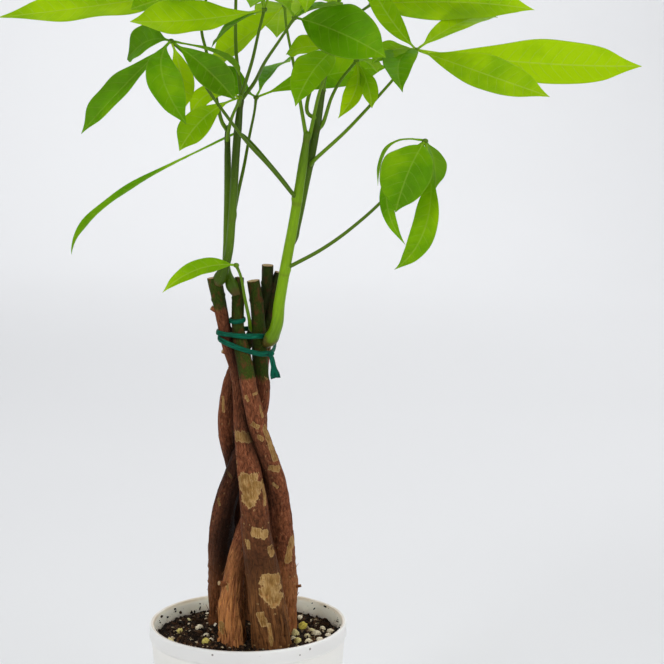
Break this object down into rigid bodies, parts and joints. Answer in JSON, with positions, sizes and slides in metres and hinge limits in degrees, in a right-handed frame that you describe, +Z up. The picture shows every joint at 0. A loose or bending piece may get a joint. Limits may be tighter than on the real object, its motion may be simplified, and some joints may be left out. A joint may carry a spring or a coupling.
{
  "type": "potted money tree",
  "caption": "Money tree house plant with a braided trunk, tied above the braid, with hand-shaped leaves, in a round white pot of gravelly soil.",
  "frame": {"origin": "centre of the pot's underside, on the surface it stands on", "axes": "+Z up along the plant, +X to the right and +Y to the back as seen from the front"},
  "size_m": [0.4015, 0.2129, 0.5881],
  "materials": {
    "pot_white": "satin",
    "soil_dark": "matte",
    "bark": "matte",
    "shoot_green": "satin",
    "twine_green": "satin",
    "leaf_green": "satin"
  },
  "bodies": {
    "root": {"pot": "pot_white", "soil": "soil_dark", "trunk_1": "bark", "trunk_2": "bark", "trunk_3": "bark", "trunk_4": "bark", "trunk_5": "bark", "shoot_1": "shoot_green", "shoot_2": "shoot_green", "shoot_3": "shoot_green", "shoot_4": "shoot_green", "tie": "twine_green", "tie_upper_turn": "twine_green", "leaf_1": "leaf_green", "leaf_2": "leaf_green", "leaf_3": "leaf_green", "leaf_4": "leaf_green", "leaf_5": "leaf_green", "leaf_6": "leaf_green", "leaf_7": "leaf_green", "leaf_8": "leaf_green", "leaf_9": "leaf_green", "leaf_10": "leaf_green", "leaf_11": "leaf_green", "leaf_12": "leaf_green", "leaf_13": "leaf_green", "leaf_14": "leaf_green", "leaf_15": "leaf_green", "leaf_16": "leaf_green"}
  },
  "joints": []
}
